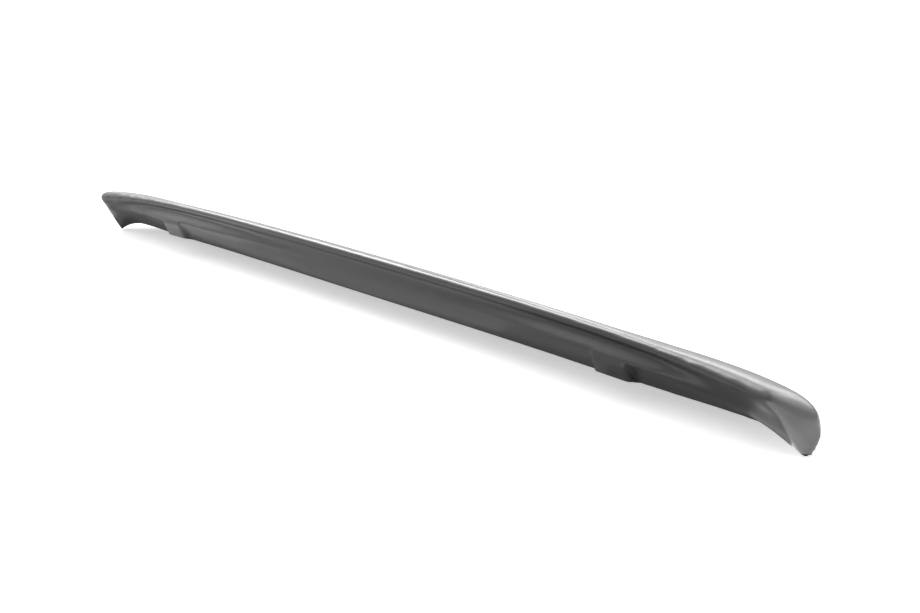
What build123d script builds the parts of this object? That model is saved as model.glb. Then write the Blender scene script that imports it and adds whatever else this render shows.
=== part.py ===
import os
from math import cos, radians, sin, tan

from build123d import *

# Frame: X runs along the lid edge, Y points to the front of the car, Z is up, in mm.
# Places along X are shares of the half span.
SPAN = 600.0
CLAW_SHARE = 0.958
HOLD_SHARE = 0.98
OVERRUN_SHARE = 1.01
STATION_SHARES = (0, 0.18, 0.35, 0.5, 0.63, 0.75, 0.85, 0.93, HOLD_SHARE, OVERRUN_SHARE)

# Trailing lip: place at the middle, then how far it bows back and falls to the ends.
LIP_Y = -12.0
LIP_Z = 77.5
LIP_BOW = (11.2, 5.4)
LIP_FALL = (2.5, 4.7, 15.2)
NOSE_RADIUS = 4.5
NOSE_TOP = 80.0
NOSE_UNDER = 216.0
NOSE_UNDER_END = 200.0

# Rear face: an undercut valley below the nose, then the band, as shares of the way to the heel.
VALLEY_SHARE = 0.22
VALLEY_SINK = 0.12
VALLEY_DEPTH = 2.5
VALLEY_DEEPER = 1.8
BAND_SHARE = 0.475
BAND_SWELL = 3.3

# Lower edge of the band, measured from the lip.
BAND_DROP = 24.0
BAND_FORWARD = 4.5
BAND_BACK = 4.5

# Heel line, where the rear face meets the underside, and the base line inside the recesses.
HEEL_Y = -2.0
HEEL_BACK = 9.0
HEEL_TUCK = 24.0
BASE_Z = 27.0
BASE_BOW = (8.7, 9.9)
BASE_FALL = (0.6, 14.7)
ARCH_DROP = 14.7
UNDER_SLOPE = 0.2

# Feet, the recess between them and the flat bonding pad under each.
FOOT_IN_SHARE = 0.597
FOOT_OUT_SHARE = 0.67
RECESS_CLEAR = 1.5
RECESS_RUN = 3.0
RECESS_BELLY = 6.0
FOOT_ROUND = 4.5
PAD_DEPTH = 0.5
PAD_REACH = 11.0

# Pocket between each foot and its end cheek: upper end, root and outer end of its scooped end wall.
POCKET_TIP = (0.833 * SPAN, -12.0, 44.0)
POCKET_ROOT = (0.877 * SPAN, 22.0, 14.0)
POCKET_CLAW = (0.958 * SPAN, 13.0, 0.3)
POCKET_SCOOP = 3.0

# Front edge.
FRONT_Y = 108.0
FRONT_END_Y = 3.0
FRONT_Z = 4.5
FRONT_CROWN = 8.0
FRONT_RISE = 27.0
FRONT_EDGE = 3.0
FRONT_EDGE_END = 8.0
FRONT_TURN = 13.0

# Shoulder of the top surface, a little ahead of the lip.
CREST_Y = 20.0
CREST_Z = 69.0
CREST_SWEEP = (11.0, 13.0)
CREST_FALL = (6.5, 9.0)

# End cheek: a face through the lip's end, rolled over into the top and into the rear face.
END_LIP = Vector(0.941 * SPAN, -26.0, 57.0)
END_CLAW = Vector(0.962 * SPAN, 13.0, -1.0)
END_SHOULDER = Vector(0.978 * SPAN, 20.0, 35.0)
ROLL_DOWN = 25.0
ROLL_IN = 26.0
ROLL_TOP = 10.5
CREASE_RADIUS = 30.0
CREASE_TURN = 46.0
FAR = 150.0


def ease(t, start, end):
    """Smooth step from 0 at start to 1 at end."""
    u = min(max((t - start) / (end - start), 0.0), 1.0)
    return u * u * (3.0 - 2.0 * u)


def over(t, start, end):
    """Straight ramp, 0 up to start and 1 at end."""
    return max((t - start) / (end - start), 0.0)


def mix(a, b, share):
    """Point between a and b, or past b."""
    return tuple(p + (q - p) * share for p, q in zip(a, b))


def move(a, dy, dz):
    return (a[0] + dy, a[1] + dz)


def polar(centre, radius, angle):
    return (centre[0] + radius * cos(radians(angle)), centre[1] + radius * sin(radians(angle)))


def lip_line(t):
    y = LIP_Y - LIP_BOW[0] * t**2 - LIP_BOW[1] * t**4
    z = LIP_Z - LIP_FALL[0] * t**2 - LIP_FALL[1] * t**4 - LIP_FALL[2] * t**6
    return (y, z)


def band_line(t):
    """Lower edge of the band, above the recesses."""
    return move(lip_line(t), BAND_FORWARD - BAND_BACK * ease(t, 0.17, 0.67), -BAND_DROP)


def base_line(t):
    """Rear edge of the underside inside the recesses."""
    y = BASE_BOW[0] * t**2 + BASE_BOW[1] * t**4
    z = BASE_Z - BASE_FALL[0] * t**2 - BASE_FALL[1] * t**4 - ARCH_DROP * over(t, 0.833, CLAW_SHARE) ** 2
    return (y, z)


def heel_line(t):
    """Rear edge of the underside on the feet and the end cheeks."""
    base = base_line(t)
    y = HEEL_Y - HEEL_BACK * ease(t, 0, 0.633) + HEEL_TUCK * over(t, 0.667, CLAW_SHARE) ** 1.5
    return (y, base[1] + UNDER_SLOPE * (base[0] - y))


def front_line(t):
    y = FRONT_END_Y + (FRONT_Y - FRONT_END_Y) * (1 - t**8)
    z = FRONT_Z - FRONT_CROWN * t**2 + FRONT_RISE * over(t, 0.75, 1) ** 1.2
    return (y, z)


def crest_line(t):
    end = over(t, 0.75, 1) ** 1.5
    y = CREST_Y - CREST_SWEEP[0] * t**2 - CREST_SWEEP[1] * end
    z = CREST_Z - CREST_FALL[0] * t**2 - CREST_FALL[1] * end
    return (y, z)


def section(share):
    """Closed outline of the spoiler at one share of the half span, before the recesses."""
    t = min(abs(share), HOLD_SHARE)
    lip = lip_line(t)
    heel = heel_line(t)
    front = front_line(t)
    crest = crest_line(t)
    front_top = move(front, 0, FRONT_EDGE + FRONT_EDGE_END * ease(t, 0.8, CLAW_SHARE))

    end = ease(t, 0.83, 0.97)
    under = NOSE_UNDER + (NOSE_UNDER_END - NOSE_UNDER) * end
    centre = move(lip, 0.7 * NOSE_RADIUS, -0.7 * NOSE_RADIUS)
    nose_top = polar(centre, NOSE_RADIUS, NOSE_TOP)
    nose_under = polar(centre, NOSE_RADIUS, under)

    swell = BAND_SWELL * (ease(t, 0.17, 0.67) - ease(t, 0.7, 0.87))
    depth = (VALLEY_DEPTH + VALLEY_DEEPER * ease(t, 0.17, 0.67)) * (1 - end)
    valley_share = VALLEY_SHARE + VALLEY_SINK * end
    valley = move(mix(lip, heel, valley_share), depth - VALLEY_SHARE * swell, 0)
    band = move(mix(lip, heel, BAND_SHARE), -swell, 0)

    def at(p):
        return Vector(share * SPAN, p[0], p[1])

    def way(angle, size):
        return Vector(0, -sin(radians(angle)), cos(radians(angle))) * size

    climb = (at(crest) - at(front_top)).rotate(Axis.X, -FRONT_TURN)
    back = at(nose_top) - at(crest)
    drop = at(valley) - at(nose_under)
    fall = at(heel) - at(band)
    top = Edge.make_spline(
        [at(front_top), at(crest), at(nose_top)],
        tangents=[climb / 0.75, way(NOSE_TOP, back.length / 0.25)],
        parameters=[0.0, 0.75, 1.0],
        scale=False,
    )
    reach = NOSE_RADIUS * 4 / 3 * tan(radians(under - NOSE_TOP) / 4)
    nose = Edge.make_bezier(
        at(nose_top), at(nose_top) + way(NOSE_TOP, reach), at(nose_under) - way(under, reach), at(nose_under)
    )
    rear = Edge.make_spline(
        [at(nose_under), at(valley), at(band), at(heel)],
        tangents=[way(under, drop.length / 0.16), fall / 0.55],
        parameters=[0.0, 0.16, 0.45, 1.0],
        scale=False,
    )
    floor = Edge.make_line(at(heel), at(front))
    edge = Edge.make_line(at(front), at(front_top))
    return Wire([top, nose, rear, floor, edge])


def recess_outline(share):
    """What is taken away between the feet at one station: a wall that rolls forward below the band."""
    t = abs(share)
    edge = move(band_line(t), -RECESS_CLEAR, RECESS_CLEAR)
    past = move(base_line(t), RECESS_RUN, -2 * RECESS_RUN)
    corners = (edge, past, move(past, -20, -20), move(edge, -30, -20))
    points = [Vector(share * SPAN, *p) for p in corners]
    belly = Vector(share * SPAN, *move(mix(edge, past, 0.5), -RECESS_BELLY, 0))
    wall = Edge.make_bezier(points[0], belly, points[1])
    return Wire([wall] + [Edge.make_line(points[i], points[(i + 1) % 4]) for i in (1, 2, 3)])


def prism(plane, outline, length):
    """Solid with this closed outline, running both ways from the plane."""
    edges = [edge for line in outline for edge in line.edges()]
    return plane * extrude(Face(Wire(edges)), length, both=True)


def pocket():
    """What is taken away between a foot and the end cheek, with a scooped end wall."""
    start_x = FOOT_OUT_SHARE * SPAN
    edge = (start_x, *move(band_line(FOOT_OUT_SHARE), -2.0, 1.5))
    past = mix(edge, (start_x, *base_line(FOOT_OUT_SHARE)), 1.15)
    tip = mix(POCKET_ROOT, POCKET_TIP, 1.35)
    root = mix(POCKET_TIP, POCKET_ROOT, 1.3)
    beyond = OVERRUN_SHARE * SPAN
    edge_out = mix(edge, tip, (beyond - start_x) / (tip[0] - start_x))
    past_out = mix(past, root, (beyond - start_x) / (root[0] - start_x))
    rings = []
    for upper, lower in ((edge, past), (edge_out, past_out)):
        corners = [upper, lower, (lower[0], lower[1] - 10, lower[2] - 60), (upper[0], upper[1] - 60, upper[2] - 60)]
        rings.append(Wire.make_polygon([Vector(*p) for p in corners], close=True))
    channel = Solid.make_loft(rings, True)

    tip, root, claw = Vector(*POCKET_TIP), Vector(*POCKET_ROOT), Vector(*POCKET_CLAW)
    depth = (root - tip).normalized()
    chord = (claw - tip) - depth * (claw - tip).dot(depth)
    width = chord.length
    ceiling = [
        ThreePointArc((0, 0), (width / 2, POCKET_SCOOP), (width, 0)),
        Polyline((width, 0), (width + FAR, -FAR), (-FAR, -FAR), (-FAR, FAR), (0, FAR), (0, 0)),
    ]
    return channel & prism(Plane(tip, x_dir=chord, z_dir=-depth), ceiling, FAR)


def end_cuts():
    """What is taken away beyond an end cheek, rolled over at the top and along the crease."""
    out = (END_SHOULDER - END_CLAW).cross(END_LIP - END_CLAW).normalized()
    brow = (END_SHOULDER - END_LIP).normalized()
    roll = [
        Bezier((0, -ROLL_DOWN), (0, 0.1 * ROLL_DOWN), (-0.27 * ROLL_IN, ROLL_TOP), (-ROLL_IN, 0.7 * ROLL_TOP)),
        Polyline(
            (-ROLL_IN, 0.7 * ROLL_TOP), (-ROLL_IN, FAR), (FAR, FAR), (FAR, -FAR), (0, -FAR), (0, -ROLL_DOWN)
        ),
    ]
    top_cut = prism(Plane(END_LIP, x_dir=out, z_dir=-brow), roll, FAR)

    crease = (END_CLAW - END_LIP).normalized()
    side = crease.cross(out)
    inset = CREASE_RADIUS * tan(radians(CREASE_TURN / 2))
    centre = (-inset, -CREASE_RADIUS)
    start = (-inset, 0)
    middle = polar(centre, CREASE_RADIUS, 90 - CREASE_TURN / 2)
    finish = polar(centre, CREASE_RADIUS, 90 - CREASE_TURN)
    bend = [
        ThreePointArc(start, middle, finish),
        Polyline(finish, (FAR, -0.75 * FAR), (FAR, FAR), (-FAR, FAR), (-FAR, 0), start),
    ]
    rear_cut = prism(Plane(END_LIP, x_dir=side, z_dir=-crease), bend, FAR)
    return [top_cut, rear_cut]


def pad():
    """What is taken away under a foot to leave a flat pad for bonding."""
    middle = (FOOT_IN_SHARE + FOOT_OUT_SHARE) / 2
    width = (FOOT_OUT_SHARE - FOOT_IN_SHARE) * SPAN
    heel, inner, outer = heel_line(middle), heel_line(FOOT_IN_SHARE), heel_line(FOOT_OUT_SHARE)
    front = front_line(middle)
    slope_x = (outer[1] - inner[1]) / width
    slope_y = (front[1] - heel[1]) / (front[0] - heel[0])
    place = Vector(middle * SPAN, heel[0], heel[1] + PAD_DEPTH)
    plane = Plane(place, x_dir=(1, 0, slope_x), z_dir=(slope_x, slope_y, -1))
    tool = Box(width + 2, PAD_REACH, 20, align=(Align.CENTER, Align.MAX, Align.MIN))
    behind = Box(width + 2, 20, 20, align=(Align.CENTER, Align.MIN, Align.MIN))
    return plane * (tool + behind)


def foot_corners(shape):
    """Upright corner edges of the feet, on the rear face."""
    sides = [FOOT_IN_SHARE * SPAN, FOOT_OUT_SHARE * SPAN]
    corners = []
    for edge in shape.edges():
        low, high = sorted([edge @ 0, edge @ 1], key=lambda p: p.Z)
        on_side = any(abs(abs(p.X) - side) < 0.1 for p in (low, high) for side in sides)
        at_rear = low.Y < base_line(FOOT_IN_SHARE)[0] - PAD_REACH
        if on_side and at_rear and high.Z - low.Z > BAND_DROP / 2:
            corners.append(edge)
    return corners


shares = [-s for s in reversed(STATION_SHARES[1:])] + list(STATION_SHARES)
body = Solid.make_loft([section(s) for s in shares])

recess_shares = [FOOT_IN_SHARE * i / 3 for i in range(-3, 4)]
recess = Solid.make_loft([recess_outline(s) for s in recess_shares])
body = body - recess

body = body - pocket() - mirror(pocket(), Plane.YZ)
body = fillet(foot_corners(body), FOOT_ROUND)

for cut in [pad()] + end_cuts():
    body = body - cut - mirror(cut, Plane.YZ)

box = body.bounding_box()
spoiler = Pos(0, -box.center().Y, -box.min.Z) * body

os.makedirs("parts", exist_ok=True)
export_step(spoiler, "parts/spoiler.step")
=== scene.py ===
from math import copysign, cos, pi, radians, sin

import bmesh
import bpy
from mathutils import Matrix, Vector

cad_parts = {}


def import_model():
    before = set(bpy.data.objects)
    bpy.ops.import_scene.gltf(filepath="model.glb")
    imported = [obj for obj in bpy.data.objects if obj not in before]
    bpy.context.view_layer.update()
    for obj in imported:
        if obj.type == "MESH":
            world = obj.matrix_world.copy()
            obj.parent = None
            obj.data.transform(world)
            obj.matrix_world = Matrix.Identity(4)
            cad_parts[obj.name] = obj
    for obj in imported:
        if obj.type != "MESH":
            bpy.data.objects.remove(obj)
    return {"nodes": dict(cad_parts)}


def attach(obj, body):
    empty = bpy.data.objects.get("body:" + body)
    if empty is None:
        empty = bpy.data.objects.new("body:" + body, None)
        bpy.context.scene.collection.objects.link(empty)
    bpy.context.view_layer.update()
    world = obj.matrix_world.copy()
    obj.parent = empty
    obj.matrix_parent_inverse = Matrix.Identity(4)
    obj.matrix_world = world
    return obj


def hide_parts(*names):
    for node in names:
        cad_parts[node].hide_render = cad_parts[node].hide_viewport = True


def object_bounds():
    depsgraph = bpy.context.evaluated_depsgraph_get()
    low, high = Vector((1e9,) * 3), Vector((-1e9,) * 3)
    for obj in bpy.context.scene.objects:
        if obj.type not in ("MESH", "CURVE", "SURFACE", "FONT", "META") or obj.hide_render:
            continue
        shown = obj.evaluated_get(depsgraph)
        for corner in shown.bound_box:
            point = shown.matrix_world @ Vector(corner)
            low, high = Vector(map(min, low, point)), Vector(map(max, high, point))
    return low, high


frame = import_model()
cad_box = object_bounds()

# Camera: where it stands in the part's frame, in metres, and how it is turned, in degrees.
CAMERA_AT = Vector((1.0777, -0.9228, 0.4405))
CAMERA_YAW = 46.0
CAMERA_PITCH = 17.19
CAMERA_NEAREST = 0.05
FOCAL_PX = 1250.0
IMAGE_WIDTH_PX = 920.0
SENSOR_MM = 36.0

# Skin of the moulding: its greys, its roughness, and the mottling and grain that vary them.
SKIN_IOR = 1.45
GREY = (0.046, 0.046, 0.0465)
GREY_PALE = (0.058, 0.058, 0.0585)
ROUGHNESS_RANGE = (0.30, 0.38)
MOTTLE_SCALE = 38.0
MOTTLE_DETAIL = 6.0
MOTTLE_SPAN = (0.3, 0.7)
GRAIN_SCALE = 1400.0
GRAIN_DETAIL = 3.0
GRAIN_STRENGTH = 0.06
GRAIN_HEIGHT = 0.0004

# Rubbed edges: from which sharpness they turn paler, and by how much at most.
EDGE_GREY = (0.09, 0.09, 0.09)
EDGE_SHARPNESS = (0.53, 0.62)
EDGE_RUB = 0.6

# Sheltered hollows: how far they look around, how open they are, a darker grey painted in as shade, and a
# duller finish.
RECESS_REACH = 0.03
RECESS_OPENNESS = (0.92, 0.6)
PAINTED_SHADE_GREY = (0.014, 0.014, 0.014)
RECESS_ROUGHNESS = 0.45

# Skin mesh: cell size, and how much longer the cells are along the plain run between the feet.
SKIN_CELL = 0.00165
SKIN_STRETCH = 4.0
PLAIN_RUN = 0.33

# Softening: rounds for all edges, and more rounds for the end cheeks, which are filled out again. It sets in
# over a stretch of the half length, of the height and from the front to the rear.
ROUND_SHARE = 0.5
EDGE_ROUNDS = 3
CHEEK_ROUNDS = 260
CHEEK_FILL = 0.003
CHEEK_REACH = (0.72, 0.90)
CHEEK_HEIGHT = (0.018, 0.042)
CHEEK_FRONT = (0.04, 0.01)

# Floor: its white for light and for the camera, and its glow to the camera and in the gloss.
FLOOR_SIZE = 30.0
FLOOR_WHITE = 0.38
FLOOR_SEEN_WHITE = 1.0
FLOOR_GLOW = 0.52
FLOOR_GLOW_MIRRORED = 0.08

# Sky: its strength as light, to the camera and in the gloss, where it dims upwards and to the rear.
SKY_SOFT = 0.4
SKY_SEEN = 1.0
SKY_MIRRORED = 1.0
SKY_HIGH = 0.35
SKY_HIGH_SPAN = (0.1, 0.5)
SKY_REAR = 0.5
SKY_REAR_SPAN = (0.3, -0.3)

# Points on the part that lamps and cards face.
MIDDLE = (0.0, 0.0, 0.05)
RIGHT_FOOT_TOP = (0.4, 0.0, 0.05)
RIGHT_CHEEK = (0.57, -0.02, 0.03)

# Lamps that light the part: a wide key, and a softbox at the right end. The softbox is given by its place,
# the point that it faces, its size and its radiance.
KEY_FROM = (-0.25, -0.42, 0.9)
KEY_SPREAD = 90.0
KEY_STRENGTH = 1.9
RIGHT_BOX = ((1.9, 0.1, 0.6), RIGHT_CHEEK, (1.8, 1.2), 1.5)

# Cards around the part, which show only in its gloss, with the same four facts as the softbox.
CARDS = {
    "strip": ((-1.4, 0.0, 1.35), (-1.4, 0.0, 0.0), (2.0, 1.3), 17.0),
    "rear_left": ((-1.42, -0.83, 0.7), MIDDLE, (1.1, 0.6), 2.4),
    "crown": ((-0.05, 0.45, 1.35), (-0.05, 0.45, 0.0), (0.7, 1.5), 7.0),
    "front": ((-0.05, 1.75, 0.85), RIGHT_FOOT_TOP, (2.4, 0.8), 6.0),
    "front_left": ((-1.95, 1.5, 0.65), MIDDLE, (2.2, 0.9), 1.6),
    "front_right": ((1.06, 0.9, 0.97), RIGHT_CHEEK, (1.2, 1.2), 4.5),
    "left_wall": ((-3.0, -0.85, 0.35), (0.0, -0.85, 0.35), (2.7, 0.7), 1.6),
}

# Cards on the floor for the undercut rear face and the right cheek: place, size and radiance. Some of them
# overlap, so each lies a little above the one before it.
FLOOR_CARDS = {
    "left_end_card": ((-1.0, 0.125), (0.8, 0.35), 2.0),
    "left_card": ((-0.85, -0.29), (1.1, 0.42), 1.1),
    "middle_card": ((-0.15, -0.275), (0.7, 0.45), 0.8),
    "step_card": ((0.275, -0.275), (0.15, 0.45), 0.35),
    "rear_card": ((0.405, -0.3), (0.11, 0.4), 1.2),
    "claw_card": ((0.55, -0.07), (0.08, 0.08), 0.9),
    "corner_card": ((0.70, -0.25), (0.40, 0.28), 1.1),
    "right_card": ((0.88, 0.0), (0.64, 0.8), 3.2),
}
FLOOR_CARD_LOWEST = 0.003
FLOOR_CARD_RISE = 0.00015

# Sockets of Blender's Mix node that hold colours.
MIX_COLOURS = (6, 7)
MIX_COLOUR_OUT = 2


def added(name, data):
    """A new object in the scene."""
    made = bpy.data.objects.new(name, data)
    bpy.context.scene.collection.objects.link(made)
    return made


def node(tree, kind, place, **values):
    """A shader node at a place in the editor, with its inputs set by name."""
    made = tree.nodes.new(kind)
    made.location = place
    for name, value in values.items():
        made.inputs[name.replace("_", " ")].default_value = value
    return made


def feed(tree, value, socket):
    """Links a socket to another one, or sets it to a value."""
    if isinstance(value, bpy.types.NodeSocket):
        tree.links.new(value, socket)
    else:
        socket.default_value = value


def blend(tree, place, low, high, factor):
    """Mixes two greys by a factor socket. The low one may be a socket too."""
    mix = node(tree, "ShaderNodeMix", place)
    mix.data_type = "RGBA"
    for index, grey in zip(MIX_COLOURS, (low, high)):
        feed(tree, (*grey, 1.0) if isinstance(grey, tuple) else grey, mix.inputs[index])
    tree.links.new(factor, mix.inputs[0])
    return mix.outputs[MIX_COLOUR_OUT]


def fade(tree, place, value, span, levels):
    """Goes from one level to another while a socket's value crosses a span."""
    made = node(
        tree, "ShaderNodeMapRange", place,
        From_Min=span[0], From_Max=span[1], To_Min=levels[0], To_Max=levels[1],
    )
    tree.links.new(value, made.inputs["Value"])
    return made.outputs["Result"]


def maths(tree, place, operation, *values):
    """One step of arithmetic on sockets and numbers."""
    made = node(tree, "ShaderNodeMath", place)
    made.operation = operation
    for value, socket in zip(values, made.inputs):
        feed(tree, value, socket)
    return made.outputs[0]


def mirrored_ray(tree, place, path):
    """1 for a ray that left a glossy or a clear surface, and 0 for others."""
    return maths(tree, place, "MAXIMUM", path.outputs["Is Glossy Ray"], path.outputs["Is Transmission Ray"])


def moulding_material():
    """Satin grey skin: fine grain, soft mottling, uneven gloss, edges rubbed paler and painted shade in the
    hollows.
    """
    material = bpy.data.materials.new("moulding_skin")
    material.use_nodes = True
    tree = material.node_tree
    links = tree.links
    shader = tree.nodes["Principled BSDF"]
    shader.inputs["IOR"].default_value = SKIN_IOR

    where = node(tree, "ShaderNodeTexCoord", (-1400, 0))
    mottle = node(tree, "ShaderNodeTexNoise", (-1100, 200), Scale=MOTTLE_SCALE, Detail=MOTTLE_DETAIL)
    grain = node(tree, "ShaderNodeTexNoise", (-1100, -300), Scale=GRAIN_SCALE, Detail=GRAIN_DETAIL)
    for noise in (mottle, grain):
        links.new(where.outputs["Object"], noise.inputs["Vector"])
    shape = node(tree, "ShaderNodeNewGeometry", (-1100, 500))
    rubbed = fade(tree, (-800, 500), shape.outputs["Pointiness"], EDGE_SHARPNESS, (0.0, EDGE_RUB))
    shelter = node(tree, "ShaderNodeAmbientOcclusion", (-1100, 800), Distance=RECESS_REACH)
    shelter.only_local = True
    painted_shade_and_matt = fade(tree, (-800, 800), shelter.outputs["AO"], RECESS_OPENNESS, (0.0, 1.0))

    tone = blend(tree, (-500, 350), GREY, GREY_PALE, mottle.outputs["Fac"])
    tone = blend(tree, (-250, 400), tone, EDGE_GREY, rubbed)
    # Painted shade: the base colour darkens in sheltered hollows, where shadow falls, and they turn duller.
    tone = blend(tree, (-100, 600), tone, PAINTED_SHADE_GREY, painted_shade_and_matt)
    links.new(tone, shader.inputs["Base Color"])

    gloss = fade(tree, (-500, 50), mottle.outputs["Fac"], MOTTLE_SPAN, ROUGHNESS_RANGE)
    matt = node(tree, "ShaderNodeMix", (-250, 50), B=RECESS_ROUGHNESS)
    links.new(gloss, matt.inputs["A"])
    links.new(painted_shade_and_matt, matt.inputs["Factor"])
    links.new(matt.outputs["Result"], shader.inputs["Roughness"])

    bump = node(tree, "ShaderNodeBump", (-500, -300), Strength=GRAIN_STRENGTH, Distance=GRAIN_HEIGHT)
    links.new(grain.outputs["Fac"], bump.inputs["Height"])
    links.new(bump.outputs["Normal"], shader.inputs["Normal"])
    return material


def ease(value, start, end):
    """Smooth step from 0 at start to 1 at end."""
    share = min(max((value - start) / (end - start), 0.0), 1.0)
    return share * share * (3.0 - 2.0 * share)


def squeezed(x):
    """Place along the lid edge, with the plain run between the feet drawn together."""
    if abs(x) < PLAIN_RUN:
        return x / SKIN_STRETCH
    return copysign(abs(x) - PLAIN_RUN + PLAIN_RUN / SKIN_STRETCH, x)


def spread(x):
    """Undoes squeezed."""
    if abs(x) < PLAIN_RUN / SKIN_STRETCH:
        return x * SKIN_STRETCH
    return copysign(abs(x) + PLAIN_RUN - PLAIN_RUN / SKIN_STRETCH, x)


def even_skin(spoiler):
    """A copy of the moulding in even cells, which are longer along the plain run between the feet."""
    skin = added("spoiler_skin", spoiler.data.copy())
    skin.matrix_world = spoiler.matrix_world
    shape = bmesh.new()
    shape.from_mesh(skin.data)
    for side in (-PLAIN_RUN, PLAIN_RUN):
        whole = shape.verts[:] + shape.edges[:] + shape.faces[:]
        bmesh.ops.bisect_plane(shape, geom=whole, plane_co=(side, 0, 0), plane_no=(1, 0, 0))
    for vertex in shape.verts:
        vertex.co.x = squeezed(vertex.co.x)
    shape.to_mesh(skin.data)
    shape.free()

    cells = skin.modifiers.new("cells", "REMESH")
    cells.mode = "VOXEL"
    cells.voxel_size = SKIN_CELL
    cells.use_smooth_shade = True
    even = skin.evaluated_get(bpy.context.evaluated_depsgraph_get())
    mesh = bpy.data.meshes.new_from_object(even)
    for vertex in mesh.vertices:
        vertex.co.x = spread(vertex.co.x)
    skin.modifiers.clear()
    skin.data = mesh
    return skin


def soften(skin):
    """Rounds every edge, blends the end cheeks further and fills them out again."""
    cheeks = skin.vertex_groups.new(name="end_cheeks")
    half_length = cad_box[1][0]
    for vertex in skin.data.vertices:
        x, y, z = skin.matrix_world @ vertex.co
        along = ease(abs(x) / half_length, *CHEEK_REACH)
        weight = along * ease(z, *CHEEK_HEIGHT) * ease(y, *CHEEK_FRONT)
        if weight > 0.0:
            cheeks.add([vertex.index], weight, "REPLACE")
    for name, rounds, group in (("edges", EDGE_ROUNDS, ""), ("cheeks", CHEEK_ROUNDS, cheeks.name)):
        rounding = skin.modifiers.new(name, "SMOOTH")
        rounding.factor = ROUND_SHARE
        rounding.iterations = rounds
        rounding.vertex_group = group
    fill = skin.modifiers.new("fill", "DISPLACE")
    fill.strength = CHEEK_FILL
    fill.mid_level = 0.0
    fill.vertex_group = cheeks.name


def dress_spoiler():
    """Lays the skin over the moulding."""
    skin = even_skin(frame["nodes"]["spoiler"])
    skin.data.materials.clear()
    skin.data.materials.append(moulding_material())
    soften(skin)
    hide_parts("spoiler")
    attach(skin, "root")


def floor():
    """Pale floor: white to the camera apart from the contact shadow, and grey in the gloss of the part."""
    mesh = bpy.data.meshes.new("floor")
    half = FLOOR_SIZE / 2
    corners = [(-half, -half, 0), (half, -half, 0), (half, half, 0), (-half, half, 0)]
    mesh.from_pydata(corners, [], [(0, 1, 2, 3)])
    plane = added("floor", mesh)
    material = bpy.data.materials.new("floor")
    material.use_nodes = True
    tree = material.node_tree
    tree.nodes.clear()
    path = node(tree, "ShaderNodeLightPath", (-600, 0))
    seen = path.outputs["Is Camera Ray"]
    white = blend(tree, (-300, 0), (FLOOR_WHITE,) * 3, (FLOOR_SEEN_WHITE,) * 3, seen)
    matt = node(tree, "ShaderNodeBsdfDiffuse", (0, 0))
    tree.links.new(white, matt.inputs["Color"])
    seen_glow = maths(tree, (-300, -200), "MULTIPLY", seen, FLOOR_GLOW)
    mirrored = mirrored_ray(tree, (-300, -400), path)
    level = maths(tree, (-150, -300), "MULTIPLY_ADD", mirrored, FLOOR_GLOW_MIRRORED, seen_glow)
    glow = node(tree, "ShaderNodeEmission", (0, -200))
    tree.links.new(level, glow.inputs["Strength"])
    both = node(tree, "ShaderNodeAddShader", (200, 0))
    tree.links.new(matt.outputs[0], both.inputs[0])
    tree.links.new(glow.outputs[0], both.inputs[1])
    out = node(tree, "ShaderNodeOutputMaterial", (400, 0))
    tree.links.new(both.outputs[0], out.inputs["Surface"])
    mesh.materials.append(material)


def sun(name, toward, angle, strength):
    """A lamp far off in one direction, which looks as wide as an angle in degrees."""
    light = bpy.data.lights.new(name, "SUN")
    light.energy = strength
    light.angle = radians(angle)
    lamp = added(name, light)
    lamp.rotation_mode = "QUATERNION"
    lamp.rotation_quaternion = Vector(toward).to_track_quat("Z", "Y")


def softbox(name, place, target, size, radiance):
    """A rectangular lamp of one brightness that faces the target."""
    light = bpy.data.lights.new(name, "AREA")
    light.shape = "RECTANGLE"
    light.size, light.size_y = size
    light.energy = radiance * pi * size[0] * size[1]
    box = added(name, light)
    box.location = place
    box.rotation_mode = "QUATERNION"
    box.rotation_quaternion = (Vector(target) - Vector(place)).to_track_quat("-Z", "Y")
    return box


def sheen(*softbox_facts):
    """A bright card that shows only in the gloss."""
    card = softbox(*softbox_facts)
    card.visible_diffuse = False
    card.visible_camera = False


def floor_cards():
    """Lays out the cards on the floor, which face straight up."""
    height = FLOOR_CARD_LOWEST
    for name, ((x, y), size, radiance) in FLOOR_CARDS.items():
        sheen(name, (x, y, height), (x, y, height + 1.0), size, radiance)
        height += FLOOR_CARD_RISE


def either(tree, place, factor, first, second):
    """Mixes two shaders by a factor socket."""
    mix = node(tree, "ShaderNodeMixShader", place)
    for socket, source in zip(mix.inputs, (factor, first, second)):
        tree.links.new(source, socket)
    return mix.outputs[0]


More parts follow.
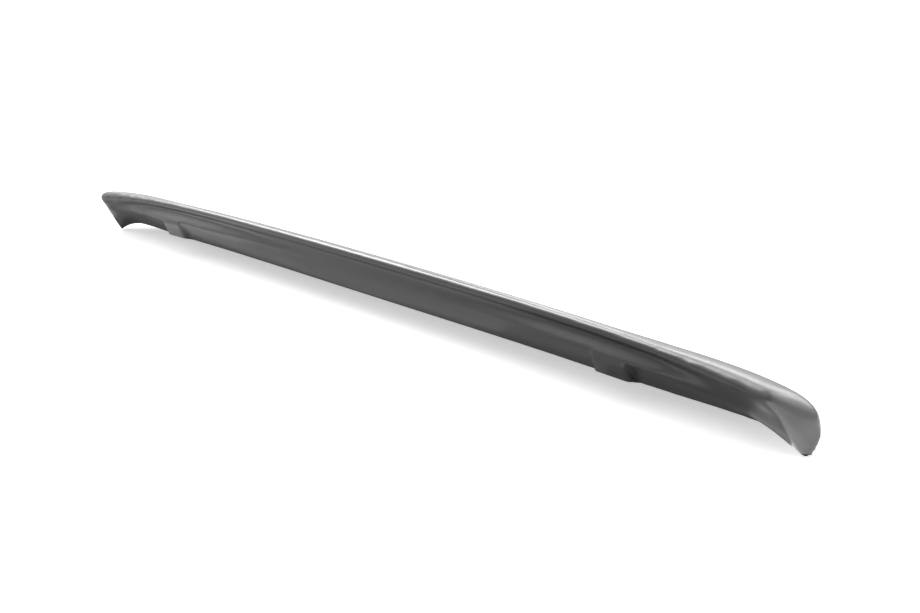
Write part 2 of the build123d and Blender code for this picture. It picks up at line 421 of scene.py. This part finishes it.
def world():
    """Soft surroundings: white to the camera, and in the gloss dimmer high up and at the rear."""
    scene = bpy.context.scene
    scene.world = bpy.data.worlds.new("surroundings")
    scene.world.use_nodes = True
    tree = scene.world.node_tree
    tree.nodes.clear()
    where = node(tree, "ShaderNodeTexCoord", (-1100, -200))
    split = node(tree, "ShaderNodeSeparateXYZ", (-900, -200))
    tree.links.new(where.outputs["Generated"], split.inputs[0])
    high = fade(tree, (-700, -150), split.outputs["Z"], SKY_HIGH_SPAN, (SKY_MIRRORED, SKY_HIGH))
    rear = fade(tree, (-700, -450), split.outputs["Y"], SKY_REAR_SPAN, (1.0, SKY_REAR))
    level = maths(tree, (-500, -300), "MULTIPLY", high, rear)

    path = node(tree, "ShaderNodeLightPath", (-900, 200))
    soft = node(tree, "ShaderNodeBackground", (-400, 100), Strength=SKY_SOFT)
    mirrored = node(tree, "ShaderNodeBackground", (-400, -50))
    tree.links.new(level, mirrored.inputs["Strength"])
    seen = node(tree, "ShaderNodeBackground", (-400, -200), Strength=SKY_SEEN)
    for shade in (soft, mirrored, seen):
        shade.inputs["Color"].default_value = (1.0, 1.0, 1.0, 1.0)
    gloss = mirrored_ray(tree, (-650, 200), path)
    indirect = either(tree, (-150, 100), gloss, soft.outputs[0], mirrored.outputs[0])
    direct = either(tree, (100, 100), path.outputs["Is Camera Ray"], indirect, seen.outputs[0])
    out = node(tree, "ShaderNodeOutputWorld", (350, 100))
    tree.links.new(direct, out.inputs["Surface"])


def camera():
    """A camera where the photograph was taken from."""
    yaw, pitch = radians(CAMERA_YAW), radians(CAMERA_PITCH)
    back = Vector((sin(yaw) * cos(pitch), -cos(yaw) * cos(pitch), sin(pitch)))
    right = Vector((cos(yaw), sin(yaw), 0))
    up = back.cross(right)
    data = bpy.data.cameras.new("camera")
    data.sensor_fit = "HORIZONTAL"
    data.sensor_width = SENSOR_MM
    data.lens = FOCAL_PX / IMAGE_WIDTH_PX * SENSOR_MM
    data.clip_start = CAMERA_NEAREST
    eye = added("camera", data)
    turn = Matrix((right, up, back)).transposed()
    eye.matrix_world = Matrix.Translation(CAMERA_AT) @ turn.to_4x4()
    bpy.context.scene.camera = eye


dress_spoiler()
floor()
sun("key", KEY_FROM, KEY_SPREAD, KEY_STRENGTH)
softbox("right", *RIGHT_BOX)
for name, facts in CARDS.items():
    sheen(name, *facts)
floor_cards()
world()
camera()
bpy.context.scene.view_settings.view_transform = "Standard"
